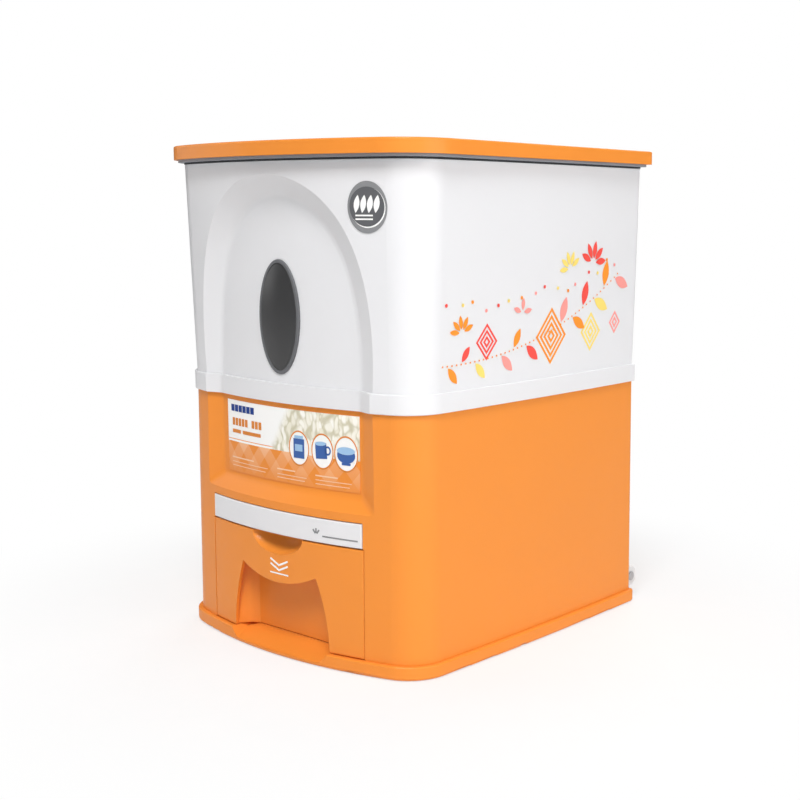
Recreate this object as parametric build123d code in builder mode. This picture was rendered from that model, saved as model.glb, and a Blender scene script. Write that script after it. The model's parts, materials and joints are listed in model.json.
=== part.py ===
from build123d import *
import os
from math import sqrt

# Rice storage bin with a hinged lid, a slide gate and a drawer. Millimetres, +Z up.
# Origin: centre of the bin's footprint box, on the floor. The front faces -Y, +X is the right-hand side.

# Overall sizes
total_height = 420.0
lid_width = 305.3
lid_depth = 338.1
front_arc_radius = 416.0      # plan radius of the lid's front edge
front_corner_radius = 48.0
rear_corner_radius = 6.0
side_bulge = 2.8              # how far the side walls bow out at their middle
wall = 2.5                    # wall of the bin and of the lower shell
roller_overhang = 10.4        # how far the rear rollers reach behind the lid

# Insets of each level from the lid's outline, at the front and sides, and at the rear
bin_rim_inset = 9.4
joint_inset = 15.3
band_inset = 13.0
shell_foot_inset = 14.0
base_inset = 10.0
bin_rim_rear_inset = 5.5
shell_rear_inset = 4.2
band_rear_inset = 2.6
base_rear_inset = 3.5

# Levels
base_underside = 0.4
base_top = 12.0
band_bottom = 211.0
joint_height = 219.0
band_top = 227.0
lid_skirt_height = 11.6

# Fits
slide_gap = 0.4               # between pieces that slide past each other
seat_gap = 0.3                # between a moving piece and what it rests over
pin_clearance = 0.05          # radial, pins and screws in their holes
slot_gap = 0.7                # round the drawer front and the gate strip in the shell's opening

# Arch-shaped recess in the front
recess_inset = 23.5
recess_half_width = 84.5
recess_crown_drop = 27.6      # below the bin's rim
recess_outer_half_width = 100.0
recess_outer_crown_drop = 10.1
arch_spring = 238.0
shoulder_top = 141.0
shoulder_foot = 129.0
band_recess_step = 2.6        # how far the band stands proud inside the recess
band_round = 0.8
recess_edge_round = 9.0
edge_slack = 1.0              # how far forward of the recess floor an edge still counts as its own

# Level window
window_half_width = 20.9
window_half_height = 43.6
window_center = 280.8
window_bezel_width = 2.9
window_bezel_proud = 1.2
window_bezel_round = 0.7
window_rebate = 1.5
lens_crown = 3.6
lens_flange_width = 6.0
lens_flange_thickness = 2.0
lens_side_radius = 80.0
gasket_thickness = 2.2

# Stickers
film_gap = 0.05               # glue under a sticker
label_half_width = 79.2
label_offset = 2.6            # the sticker's middle lies this far to the right
label_bottom = 145.0
label_top = 206.5
label_thickness = 0.4
badge_half_width = 17.2
badge_half_height = 19.5
badge_side_inset = 51.4       # from the lid's side to the badge's middle
badge_drop = 35.8             # below the bin's rim
badge_thickness = 0.5

# Base
base_wall = 3.0
base_floor = 2.5
base_foot_round = 3.0
base_rim_round = 1.2
trough_half_width = 58.8
trough_end_run = 10.0         # how far the trough's ends slope inwards
trough_end_bow = 1.4
trough_front_height = 3.8
trough_rear_height = 10.9
foot_radius = 9.0
foot_thickness = 2.5
foot_boss_radius = 12.0
foot_side_inset = 44.6        # from the lid's side to the middle of a foot
foot_front_y = -112.0
foot_rear_y = 128.0

# Hopper
funnel_wall = 2.2
funnel_flange = 2.5
funnel_ledge = 2.5
mouth_side_inset = 26.6
mouth_front_y = -126.0
mouth_rear_y = 147.0
mouth_corner = 24.0
outlet_half_width = 50.0
outlet_front_y = -81.0
outlet_rear_y = 15.0
outlet_corner = 6.0
outlet_height = 122.0
outlet_plate = 2.5
joint_screw_side_inset = 28.6
joint_screw_front_y = -122.0
joint_screw_rear_y = 143.0

# Slide gate
blade_thickness = 2.4
blade_half_width = 60.0
blade_underside = 113.0
blade_rear_y = 21.0
rail_lip = 3.0
rail_web = 3.0
rail_length = 152.0
rail_ear = 9.0
rail_screw_inset = 12.0
strip_bottom = 102.8
strip_top = 122.5
strip_half_width = 90.0
strip_proud = 0.8
strip_wall = 2.8
strip_shelf_half_width = 46.0
strip_depth = 17.0
strip_shelf_reach = 9.0       # how far the shelf goes on behind the strip's depth
strip_screw_inset = 8.0
strip_round = 1.0

# Drawer
drawer_front_bottom = 12.7
drawer_front_top = 101.5
drawer_half_width = 91.3
drawer_skin = 3.0
drawer_frame = 2.4
drawer_edge_round = 1.0
box_half_width = 87.5
box_wall = 2.0
box_bottom = 14.0
box_top = 94.0
box_rear_y = 118.0
box_corner = 8.0
box_screw_inset = 14.0
box_screw_low = 30.0
box_screw_high = 82.0
guide_height = 49.2
guide_thickness = 3.0
runner_lip = 2.6
runner_foot = 3.0
runner_foot_width = 14.0
runner_screw_inset = 40.0

# Hand recess and finger recess in the drawer front
hand_depth = 22.0
hand_top_half_width = 44.7
hand_mid_half_width = 53.0
hand_foot_half_width = 58.3
hand_top = 72.3
hand_mid = 48.0
hand_lip = 61.8
hand_space_half_width = 59.3
hand_rear_half_width = 46.8
hand_flank_bow = 2.4          # how far the flanks bow out from straight
hand_ceiling = 76.0
finger_half_width = 31.4
finger_drop = 16.0
finger_depth = 14.0

# Rear rollers
roller_radius = 9.8
roller_width = 11.6
roller_side_inset = 29.7      # from the lid's side to the roller's inner face
roller_pin_radius = 2.5
roller_cap_radius = 4.2
roller_cap_thickness = 0.9
bracket_wall = 2.5
bracket_cheek = 4.6
bracket_foot_length = 13.0
roller_bay_top = 35.0

# Lid and hinge
lid_wall = 2.6
lid_edge_round = 1.6
liner_inset = 3.6
liner_drop = 2.2              # how far the liner shows under the cover's skirt
liner_floor = 2.0
liner_upstand = 3.0
collar_gap = 2.2
collar_wall = 2.0
collar_height = 7.0
seal_width = 3.6
seal_thickness = 1.3
hinge_side_inset = 74.6       # from the lid's side to the middle of a hinge
hinge_drop = 5.0              # pin below the bin's rim
hinge_radius = 3.0
hinge_pin_radius = 1.25
hinge_knuckle = 14.0
hinge_ear = 8.0
hinge_wall_gap = 0.4
lid_screw_side_inset = 54.6
lid_screw_y = 108.0

# Screws
screw_head_radius = 3.4
screw_head_height = 1.8
screw_radius = 1.6
screw_length = 13.0
screw_slot_width = 0.8
screw_boss_radius = 4.5
small_screw_length = 8.0
screw_end_wall = 1.0          # plastic left past a screw's tip
base_post_height = 20.0
base_post_side_inset = 23.6
base_post_y = (-98.0, 20.0, 132.0)

# Planes and levels that follow from the sizes above
total_depth = lid_depth + roller_overhang
lid_front_y = -total_depth / 2
lid_rear_y = lid_front_y + lid_depth
arc_axis_y = lid_front_y + front_arc_radius
lid_half_width = lid_width / 2
badge_x = lid_half_width - badge_side_inset
foot_x = lid_half_width - foot_side_inset
mouth_half_width = lid_half_width - mouth_side_inset
joint_screw_x = lid_half_width - joint_screw_side_inset
roller_inner_x = lid_half_width - roller_side_inset
hinge_x = lid_half_width - hinge_side_inset
lid_screw_x = lid_half_width - lid_screw_side_inset
base_post_x = lid_half_width - base_post_side_inset
guide_width = drawer_half_width - box_half_width
lid_bottom = total_height - lid_skirt_height
liner_bottom = lid_bottom - liner_drop
seal_bottom = liner_bottom - seal_thickness
bin_rim = seal_bottom - seat_gap
recess_crown = bin_rim - recess_crown_drop
recess_outer_crown = bin_rim - recess_outer_crown_drop
badge_z = bin_rim - badge_drop
flange_underside = joint_height - funnel_flange
ledge_underside = flange_underside - funnel_ledge
blade_top = blade_underside + blade_thickness
hand_rear_y = lid_front_y + shell_foot_inset + hand_depth
drawer_front_rear_y = hand_rear_y + drawer_frame
roller_y = lid_rear_y + roller_overhang - roller_radius
roller_z = base_top + seat_gap + roller_radius
hinge_y = lid_rear_y - bin_rim_rear_inset + hinge_wall_gap + hinge_radius
hinge_z = bin_rim - hinge_drop
base_plate_underside = base_top - base_floor
shift = -roller_overhang / 2  # places written for the lid's middle, moved to the footprint's middle


def front_at(x, inset):
    """Y of the front arc at a given inset, at distance x from the middle."""
    return arc_axis_y - sqrt((front_arc_radius - inset) ** 2 - x ** 2)


def taper(level, low, high, at_low, at_high):
    """Value that changes evenly from at_low at height low to at_high at height high."""
    return at_low + (at_high - at_low) * (level - low) / (high - low)


def outline(level, inset, rear_inset, bulge=side_bulge):
    """Plan outline at a height: curved front, bowed sides, straight rear and rounded corners."""
    half = lid_half_width - inset
    front = lid_front_y + inset
    rear = lid_rear_y - rear_inset
    corner = front_at(half, inset)
    middle = (corner + rear) / 2
    with BuildSketch(Plane.XY.offset(level)) as plan:
        with BuildLine():
            ThreePointArc((-half, corner), (0, front), (half, corner))
            if bulge > 0:
                ThreePointArc((half, corner), (half + bulge, middle), (half, rear))
            else:
                Line((half, corner), (half, rear))
            Line((half, rear), (-half, rear))
            if bulge > 0:
                ThreePointArc((-half, rear), (-half - bulge, middle), (-half, corner))
            else:
                Line((-half, rear), (-half, corner))
        make_face()
        fillet(plan.vertices().group_by(Axis.Y)[0], front_corner_radius - inset)
        fillet(plan.vertices().group_by(Axis.Y)[-1], rear_corner_radius)
    return plan.sketch


def rounded_box(level, half_width, front, rear, corner):
    """Rounded rectangle at a height, centred on X, from front to rear along Y."""
    with BuildSketch(Plane.XY.offset(level)) as plan:
        with Locations((0, (front + rear) / 2)):
            RectangleRounded(2 * half_width, rear - front, corner)
    return plan.sketch


def bin_body(low, high, thickness):
    """Solid of the upper bin's outer form between two heights, shrunk by thickness."""
    plans = []
    for level in (low, high):
        inset = taper(level, joint_height, bin_rim, joint_inset, bin_rim_inset)
        rear = taper(level, joint_height, bin_rim, shell_rear_inset, bin_rim_rear_inset)
        plans.append(outline(level, inset + thickness, rear + thickness))
    with BuildPart() as body:
        loft(plans, ruled=True)
    return body.part


def shell_body(low, high, thickness):
    """Solid of the lower shell's outer form between two heights, shrunk by thickness."""
    plans = []
    for level in (low, high):
        inset = taper(level, base_top, joint_height, shell_foot_inset, joint_inset)
        plans.append(outline(level, inset + thickness, shell_rear_inset + thickness))
    with BuildPart() as body:
        loft(plans, ruled=True)
    return body.part


def recess_cutter(grow, edge_round=0.0):
    """Space in front of the arch-shaped recess, widened by grow into the wall behind it."""
    edge_y = front_at(recess_half_width, recess_inset)
    crown_y = front_at(0, recess_inset)
    side_slope = (recess_outer_half_width - recess_half_width) / (
        edge_y - front_at(recess_outer_half_width, joint_inset))
    outer_inset = taper(recess_outer_crown, joint_height, bin_rim, joint_inset, bin_rim_inset)
    crown_slope = (recess_outer_crown - recess_crown) / (crown_y - front_at(0, outer_inset))
    low = shoulder_foot - recess_inset
    with BuildPart() as cutter:
        for y in (lid_front_y + bin_rim_inset / 2, edge_y + recess_inset / 2 + grow):
            half = recess_half_width + (edge_y - y) * side_slope + grow * sqrt(1 + side_slope ** 2)
            top = recess_crown + (crown_y - y) * crown_slope + grow * sqrt(1 + crown_slope ** 2)
            with BuildSketch(Plane((0, y, 0), x_dir=(1, 0, 0), z_dir=(0, -1, 0))):
                with BuildLine():
                    Polyline((-half, arch_spring), (-half, low), (half, low), (half, arch_spring))
                    for start in (0, 90):
                        EllipticalCenterArc((0, arch_spring), half, top - arch_spring, start, arc_size=90)
                make_face()
        loft(ruled=True)
        floor_radius = front_arc_radius - recess_inset - grow
        slope = (shoulder_top - shoulder_foot) / (recess_inset - shell_foot_inset)
        foot = shoulder_top - grow * (sqrt(1 + slope ** 2) - slope)
        reach = recess_inset + grow
        with BuildSketch(Plane.YZ):
            with BuildLine():
                Polyline(
                    (arc_axis_y + floor_radius, total_height),
                    (arc_axis_y + floor_radius, foot),
                    (arc_axis_y + floor_radius + reach, foot - slope * reach),
                    (arc_axis_y + floor_radius + reach, total_height),
                    close=True,
                )
            make_face()
        revolve(axis=Axis((0, arc_axis_y, 0), (0, 0, 1)), mode=Mode.INTERSECT)
        if edge_round > 0:
            nearest_y = arc_axis_y - floor_radius - edge_slack
            fillet(cutter.edges().filter_by(lambda e: e.center().Y > nearest_y), edge_round)
    return cutter.part


def mouth_plan(level, grow):
    """Opening between the bin and the hopper, widened by grow."""
    return rounded_box(level, mouth_half_width + grow, mouth_front_y + shift - grow,
                       mouth_rear_y + shift + grow, mouth_corner + grow)


def outlet_plan(level, grow):
    """Opening at the hopper's foot, widened by grow."""
    return rounded_box(level, outlet_half_width + grow, outlet_front_y + shift - grow,
                       outlet_rear_y + shift + grow, outlet_corner + grow)


def ellipse_block(half_width, half_height, front, rear):
    """Upright elliptical block about the window's centre, from front to rear along Y."""
    with BuildPart() as block:
        with BuildSketch(Plane((0, rear, 0), x_dir=(1, 0, 0), z_dir=(0, -1, 0))):
            with Locations((0, window_center)):
                Ellipse(half_width, half_height)
        extrude(amount=rear - front)
    return block.part


def block(x_low, x_high, y_low, y_high, z_low, z_high):
    """Plain block between two corners."""
    with BuildPart() as body:
        with BuildSketch(Plane.XY.offset(z_low)):
            with Locations(((x_low + x_high) / 2, (y_low + y_high) / 2)):
                Rectangle(x_high - x_low, y_high - y_low)
        extrude(amount=z_high - z_low)
    return body.part


def screws(seat, places, length):
    """Pan-head screws driven along the seat plane's normal, with their heads' undersides on the plane."""
    with BuildPart(seat) as group:
        with Locations(places):
            Cylinder(screw_head_radius, screw_head_height, align=(Align.CENTER, Align.CENTER, Align.MAX))
            Cylinder(screw_radius, length, align=(Align.CENTER, Align.CENTER, Align.MIN))
        with Locations([(x, y, -screw_head_height) for x, y in places]):
            for across, along in ((1, 4), (4, 1)):
                Box(across * screw_slot_width, along * screw_slot_width, screw_head_height,
                    mode=Mode.SUBTRACT)
    return group


def rods(seat, places, radius, length):
    """Round posts, or the holes for screws, standing on a plane along its normal."""
    with BuildPart() as group:
        with BuildSketch(seat):
            with Locations(places):
                Circle(radius)
        extrude(amount=length)
    return group.part


def save(piece, name):
    """Label a finished piece and write it under its own name."""
    piece.part.label = name
    export_step(piece.part, f"parts/{name}.step")


os.makedirs("parts", exist_ok=True)
sides = ((-1, "left"), (1, "right"))
screw_hole = screw_radius + pin_clearance

# Places shared by pieces that screw together
joint_places = [
    (s * joint_screw_x, y + shift) for s in (-1, 1) for y in (joint_screw_front_y, joint_screw_rear_y)
]
base_post_places = [(s * base_post_x, y + shift) for s in (-1, 1) for y in base_post_y]
runner_web_x = box_half_width + guide_width + slide_gap
runner_front_y = drawer_front_rear_y + seat_gap
runner_rear_y = box_rear_y + shift
runner_foot_x = runner_web_x + runner_lip + runner_foot_width / 2
runner_screw_places = [
    (s * runner_foot_x, y)
    for s in (-1, 1)
    for y in (runner_front_y + runner_screw_inset, shift, runner_rear_y - runner_screw_inset)
]
bracket_inner_x = roller_inner_x - slide_gap - bracket_cheek
bracket_outer_x = lid_half_width - shell_foot_inset - wall - slide_gap
bracket_front_y = roller_y - roller_radius - slide_gap - bracket_wall
bracket_foot_front_y = bracket_front_y - bracket_foot_length
bracket_screw_places = [
    (s * x, (bracket_foot_front_y + bracket_front_y) / 2)
    for s in (-1, 1)
    for x in (bracket_inner_x + screw_boss_radius, bracket_outer_x - screw_boss_radius)
]
base_screw_places = base_post_places + runner_screw_places + bracket_screw_places
foot_places = [(s * foot_x, y + shift) for s in (-1, 1) for y in (foot_front_y, foot_rear_y)]
trough_rear_y = hand_rear_y + seat_gap
trough_middle_height = (base_top + trough_front_height) / 2
window_face_y = front_at(0, recess_inset)
screw_grip = screw_length - base_floor
base_seat = Plane.XY.offset(base_top)

# Base tray: an upturned tray with a rounded rim and a trough in front of the hand recess
base_pocket_front = block(-trough_half_width - base_wall, trough_half_width + base_wall,
                          lid_front_y, trough_rear_y + base_wall, base_underside, base_top)
with BuildPart() as base_tray:
    extrude(outline(base_underside, base_inset, base_rear_inset), amount=base_top - base_underside)
    fillet(base_tray.faces().sort_by(Axis.Z)[0].edges(), base_foot_round)
    fillet(base_tray.faces().sort_by(Axis.Z)[-1].edges(), base_rim_round)
with BuildPart() as trough:
    with BuildSketch(Plane.YZ):
        with BuildLine():
            Polyline(
                (trough_rear_y, base_top),
                (trough_rear_y, trough_rear_height),
                (lid_front_y + base_inset + base_foot_round, trough_front_height),
                (lid_front_y, trough_front_height),
                (lid_front_y, base_top),
                close=True,
            )
        make_face()
    extrude(amount=trough_half_width, both=True)
    with BuildSketch(Plane((0, lid_front_y, 0), x_dir=(1, 0, 0), z_dir=(0, -1, 0))):
        with BuildLine():
            Line((-trough_half_width, base_top), (trough_half_width, base_top))
            for s in (-1, 1):
                ThreePointArc(
                    (s * trough_half_width, base_top),
                    (s * (trough_half_width - trough_end_run / 2), trough_middle_height - trough_end_bow),
                    (s * (trough_half_width - trough_end_run), trough_front_height),
                )
            Line((trough_end_run - trough_half_width, trough_front_height),
                 (trough_half_width - trough_end_run, trough_front_height))
        make_face()
    extrude(amount=lid_front_y - trough_rear_y, mode=Mode.INTERSECT)
with BuildPart() as base_pocket:
    extrude(outline(base_underside, base_inset + base_wall, base_rear_inset + base_wall),
            amount=base_plate_underside - base_underside)
    add(base_pocket_front, mode=Mode.SUBTRACT)
    with BuildSketch(Plane.XY.offset(base_underside)):
        with Locations(foot_places):
            Circle(foot_boss_radius)
    extrude(amount=base_plate_underside - base_underside, mode=Mode.SUBTRACT)
with base_tray:
    add(base_pocket.part, mode=Mode.SUBTRACT)
    add(trough.part, mode=Mode.SUBTRACT)
    with BuildSketch(Plane.XY.offset(base_underside)):
        with Locations(foot_places):
            Circle(foot_radius + pin_clearance)
    extrude(amount=foot_thickness - base_underside, mode=Mode.SUBTRACT)
    add(rods(Plane.XY.offset(base_plate_underside), base_screw_places, screw_hole, base_floor),
        mode=Mode.SUBTRACT)
save(base_tray, "base_tray")

# Rubber feet, set into the base
with BuildPart() as rubber_feet:
    with BuildSketch(Plane.XY):
        with Locations(foot_places):
            Circle(foot_radius)
    extrude(amount=foot_thickness)
save(rubber_feet, "rubber_feet")

# Lower shell: walls, label panel, ledge for the hopper, drawer and gate openings, screw posts
shell_cavity = shell_body(base_top, joint_height, wall) - recess_cutter(wall)
ledge_ring = shell_body(ledge_underside, flange_underside, wall / 2) - recess_cutter(wall / 2)
post_limit = shell_body(base_top, base_top + base_post_height, wall / 2)
rib_length = base_post_side_inset
with BuildPart() as screw_posts:
    with BuildSketch(base_seat):
        with Locations(base_post_places):
            Circle(screw_boss_radius)
        for s in (-1, 1):
            with Locations([(s * (base_post_x + rib_length / 2), y + shift) for y in base_post_y]):
                Rectangle(rib_length, wall)
    extrude(amount=base_post_height)
    add(post_limit, mode=Mode.INTERSECT)
    add(rods(base_seat, base_post_places, screw_hole, screw_grip), mode=Mode.SUBTRACT)
with BuildPart() as lower_shell:
    add(shell_body(base_top, joint_height, 0))
    add(recess_cutter(0, recess_edge_round), mode=Mode.SUBTRACT)
    add(shell_cavity, mode=Mode.SUBTRACT)
    add(ledge_ring)
    extrude(mouth_plan(ledge_underside, funnel_wall + slide_gap), amount=funnel_ledge, mode=Mode.SUBTRACT)
    add(block(-drawer_half_width - slot_gap, drawer_half_width + slot_gap, lid_front_y, drawer_front_rear_y,
              base_top, drawer_front_top + slot_gap), mode=Mode.SUBTRACT)
    add(block(-strip_half_width - slot_gap, strip_half_width + slot_gap, lid_front_y, drawer_front_rear_y,
              base_top, strip_top + slot_gap), mode=Mode.SUBTRACT)
    for s in (-1, 1):
        near, far = sorted((s * bracket_inner_x, s * bracket_outer_x))
        add(block(near - slide_gap, far + slide_gap, bracket_front_y, lid_rear_y,
                  base_top, roller_bay_top), mode=Mode.SUBTRACT)
    add(screw_posts.part)
    add(rods(Plane.XY.offset(ledge_underside), joint_places, screw_hole, funnel_ledge), mode=Mode.SUBTRACT)
save(lower_shell, "lower_shell")

# Upper bin: tapered walls with the arch-shaped recess, open top, floor with the hopper's mouth
bin_floor = joint_height + funnel_flange
bin_cavity = bin_body(bin_floor, bin_rim, wall) - recess_cutter(wall)
joint_screw_grip = screw_length - funnel_ledge - funnel_flange
rear_wall_y = lid_rear_y - bin_rim_rear_inset - wall / 2
with BuildPart() as upper_bin:
    add(bin_body(joint_height, bin_rim, 0))
    add(recess_cutter(0, recess_edge_round), mode=Mode.SUBTRACT)
    add(bin_cavity, mode=Mode.SUBTRACT)
    extrude(mouth_plan(joint_height, 0), amount=funnel_flange, mode=Mode.SUBTRACT)
    add(rods(Plane.XY.offset(bin_floor), joint_places, screw_boss_radius, small_screw_length))
    add(rods(Plane.XY.offset(joint_height), joint_places, screw_hole, joint_screw_grip), mode=Mode.SUBTRACT)
    add(ellipse_block(window_half_width, window_half_height,
                      window_face_y - recess_inset, window_face_y + recess_inset), mode=Mode.SUBTRACT)
    add(ellipse_block(window_half_width + window_bezel_width, window_half_height + window_bezel_width,
                      window_face_y - recess_inset, window_face_y + window_rebate), mode=Mode.SUBTRACT)
    for s in (-1, 1):
        for reach in (-1, 1):
            ear_x = s * hinge_x + reach * (hinge_knuckle / 2 + slide_gap + hinge_ear / 2)
            with BuildSketch(Plane.YZ.offset(ear_x)):
                with Locations((hinge_y, hinge_z)):
                    Circle(hinge_radius)
                with Locations(((hinge_y + rear_wall_y) / 2, hinge_z)):
                    Rectangle(hinge_y - rear_wall_y, 2 * hinge_radius)
            extrude(amount=hinge_ear / 2, both=True)
            with BuildSketch(Plane.YZ.offset(ear_x)):
                with Locations((hinge_y, hinge_z)):
                    Circle(hinge_pin_radius + pin_clearance)
            extrude(amount=hinge_ear / 2, both=True, mode=Mode.SUBTRACT)
save(upper_bin, "upper_bin")

# Band round the joint, following the recess with a step
band_space = shell_body(band_bottom, joint_height, -pin_clearance) + bin_body(
    joint_height, band_top, -pin_clearance) - recess_cutter(-pin_clearance, recess_edge_round)
with BuildPart() as joint_band:
    extrude(outline(band_bottom, band_inset, band_rear_inset), amount=band_top - band_bottom)
    fillet(joint_band.faces().filter_by(Axis.Z).edges(), band_round)
    add(recess_cutter(-band_recess_step, recess_edge_round), mode=Mode.SUBTRACT)
    add(band_space, mode=Mode.SUBTRACT)
save(joint_band, "joint_band")

# Hopper funnel: flange under the bin's floor, sloping walls, outlet neck and rail plate
neck_foot = blade_top + slide_gap
plate_underside = blade_top + slide_gap + rail_lip
rail_front_y = blade_rear_y + shift + slide_gap + rail_web - rail_length
rail_web_x = blade_half_width + slide_gap
rail_outer_x = rail_web_x + rail_web + rail_ear
rail_screw_places = [
    (s * (rail_outer_x - rail_ear / 2), y)
    for s in (-1, 1)
    for y in (rail_front_y + rail_screw_inset, rail_front_y + rail_length - rail_screw_inset)
]
flange_plate = shell_body(flange_underside, joint_height, wall + seat_gap) - recess_cutter(wall + seat_gap)
with BuildPart() as hopper_funnel:
    loft([mouth_plan(joint_height, funnel_wall), outlet_plan(outlet_height, funnel_wall)], ruled=True)
    extrude(outlet_plan(neck_foot, funnel_wall), amount=outlet_height - neck_foot)
    add(flange_plate)
    extrude(rounded_box(plate_underside, rail_outer_x, rail_front_y, rail_front_y + rail_length,
                        outlet_corner), amount=outlet_plate)
    loft([mouth_plan(joint_height, 0), outlet_plan(outlet_height, 0)], ruled=True, mode=Mode.SUBTRACT)
    extrude(outlet_plan(neck_foot, 0), amount=outlet_height - neck_foot, mode=Mode.SUBTRACT)
    add(rods(Plane.XY.offset(flange_underside), joint_places, screw_hole, funnel_flange), mode=Mode.SUBTRACT)
    add(rods(Plane.XY.offset(plate_underside), rail_screw_places, screw_hole, outlet_plate),
        mode=Mode.SUBTRACT)
save(hopper_funnel, "hopper_funnel")

# Gate rails: channels under the rail plate that hold the blade's edges, screwed on by their outer ears
rail_foot = blade_underside - slide_gap - rail_lip
ear_seat = Plane.XY.offset(plate_underside - rail_lip)
for s, side in sides:
    with BuildPart() as gate_rail:
        near, far = sorted((s * (blade_half_width - rail_lip), s * (rail_web_x + rail_web)))
        add(block(near, far, rail_front_y, rail_front_y + rail_length, rail_foot, plate_underside))
        near, far = sorted((s * rail_web_x, s * rail_outer_x))
        add(block(near, far, rail_front_y, rail_front_y + rail_length, plate_underside - rail_lip,
                  plate_underside))
        near, far = sorted((s * (blade_half_width - 2 * rail_lip), s * rail_web_x))
        add(block(near, far, rail_front_y, rail_front_y + rail_length - rail_web,
                  blade_underside - slide_gap, blade_top + slide_gap), mode=Mode.SUBTRACT)
        add(rods(ear_seat, rail_screw_places, screw_hole, rail_lip), mode=Mode.SUBTRACT)
    save(gate_rail, f"gate_rail_{side}")

# Gate blade: the sliding shutter under the outlet
strip_face = shell_body(strip_bottom, strip_top, -strip_proud)
strip_back = shell_body(strip_bottom, strip_top, strip_wall - strip_proud)
strip_front_limit = lid_front_y + shell_foot_inset + strip_depth
blade_screw_places = [
    (s * (strip_shelf_half_width - strip_screw_inset), strip_front_limit + strip_shelf_reach / 2)
    for s in (-1, 1)
]
with BuildPart() as gate_blade:
    extrude(rounded_box(blade_underside, blade_half_width, lid_front_y, blade_rear_y + shift,
                        outlet_corner), amount=blade_thickness)
    add(strip_back, mode=Mode.INTERSECT)
    add(rods(Plane.XY.offset(blade_underside), blade_screw_places, screw_hole, blade_thickness),
        mode=Mode.SUBTRACT)
save(gate_blade, "gate_blade")

# Gate strip: the white front bar that pulls the blade, with a shelf over the blade's front end
strip_end_y = front_at(strip_half_width, shell_foot_inset) + strip_wall
with BuildPart() as gate_strip:
    add(strip_face)
    add(block(-strip_half_width, strip_half_width, lid_front_y, strip_end_y, strip_bottom, strip_top),
        mode=Mode.INTERSECT)
    fillet(gate_strip.faces().sort_by(Axis.Y)[0].edges(), strip_round)
    hollow = strip_back & block(
        strip_wall - strip_half_width, strip_half_width - strip_wall, lid_front_y, strip_end_y,
        strip_bottom + strip_wall, strip_top - strip_wall)
    add(hollow, mode=Mode.SUBTRACT)
    finger_way = strip_back & block(-finger_half_width, finger_half_width, lid_front_y, strip_end_y,
                                    strip_bottom, strip_top - strip_wall)
    add(finger_way, mode=Mode.SUBTRACT)
    shelf = strip_back & block(-strip_shelf_half_width, strip_shelf_half_width, lid_front_y,
                               strip_front_limit + strip_shelf_reach, blade_top, blade_top + strip_wall)
    add(shelf)
    add(rods(Plane.XY.offset(blade_top), blade_screw_places, screw_hole, strip_wall), mode=Mode.SUBTRACT)
save(gate_strip, "gate_strip")

# Drawer box: open tray with a guide rib along each side
box_front_y = drawer_front_rear_y
box_screw_seat = Plane((0, box_front_y + box_wall, 0), x_dir=(1, 0, 0), z_dir=(0, -1, 0))
drawer_screw_places = [
    (s * (box_half_width - box_screw_inset), z) for s in (-1, 1) for z in (box_screw_low, box_screw_high)
]
with BuildPart() as drawer_box:
    extrude(rounded_box(box_bottom, box_half_width, box_front_y, box_rear_y + shift, box_corner),
            amount=box_top - box_bottom)
    fillet(drawer_box.faces().sort_by(Axis.Z)[0].edges(), box_wall)
    extrude(rounded_box(box_bottom + box_wall, box_half_width - box_wall, box_front_y + box_wall,
                        box_rear_y + shift - box_wall, box_corner - box_wall),
            amount=box_top - box_bottom, mode=Mode.SUBTRACT)
    for s in (-1, 1):
        near, far = sorted((s * box_half_width, s * (box_half_width + guide_width)))
        add(block(near, far, box_front_y + box_corner, box_rear_y + shift - box_corner,
                  guide_height, guide_height + guide_thickness))
    add(rods(box_screw_seat, drawer_screw_places, screw_hole, box_wall), mode=Mode.SUBTRACT)
save(drawer_box, "drawer_box")


def hand_space(grow):
    """Room behind the drawer's skin for the fingers, with curved flanks, widened by grow."""
    front = lid_front_y + shell_foot_inset
    edge = front_at(hand_space_half_width, shell_foot_inset + drawer_skin)
    bend = (hand_space_half_width + hand_rear_half_width) / 2 + hand_flank_bow
    rear = hand_rear_y + grow
    with BuildPart() as space:
        with BuildSketch(Plane.XY.offset(drawer_front_bottom)):
            with BuildLine():
                for s in (-1, 1):
                    Line((s * (hand_space_half_width + grow), front), (s * (hand_space_half_width + grow), edge))
                    ThreePointArc(
                        (s * (hand_space_half_width + grow), edge),
                        (s * (bend + grow), (edge + rear) / 2),
                        (s * (hand_rear_half_width + grow), rear),
                    )
                Line((-hand_space_half_width - grow, front), (hand_space_half_width + grow, front))
                Line((-hand_rear_half_width - grow, rear), (hand_rear_half_width + grow, rear))
            make_face()
        extrude(amount=hand_ceiling + grow - drawer_front_bottom)
    return space.part


# Drawer front: curved skin on a frame, with the hand recess, the finger recess and screw bosses
front_plane = Plane((0, lid_front_y, 0), x_dir=(1, 0, 0), z_dir=(0, -1, 0))
front_block = block(-drawer_half_width, drawer_half_width, lid_front_y, drawer_front_rear_y,
                    drawer_front_bottom, drawer_front_top)
frame_block = block(drawer_frame - drawer_half_width, drawer_half_width - drawer_frame, lid_front_y,
                    drawer_front_rear_y, drawer_front_bottom + drawer_frame, drawer_front_top - drawer_frame)
behind_skin = shell_body(drawer_front_bottom, drawer_front_top, drawer_skin)
finger_axis_y = lid_front_y + shell_foot_inset + finger_depth - finger_drop


def finger_space(grow):
    """Rounded scoop under the gate strip, turned about its long axis, widened by grow."""
    with BuildPart() as space:
        with BuildSketch(Plane((0, finger_axis_y, 0), x_dir=(1, 0, 0), z_dir=(0, -1, 0))):
            with Locations((0, drawer_front_top)):
                Ellipse(finger_half_width + grow, finger_drop + grow)
                Rectangle(2 * (finger_half_width + grow), finger_drop + grow, mode=Mode.SUBTRACT,
                          align=(Align.CENTER, Align.MIN))
        revolve(axis=Axis((0, finger_axis_y, drawer_front_top), (1, 0, 0)))
    return space.part


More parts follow.
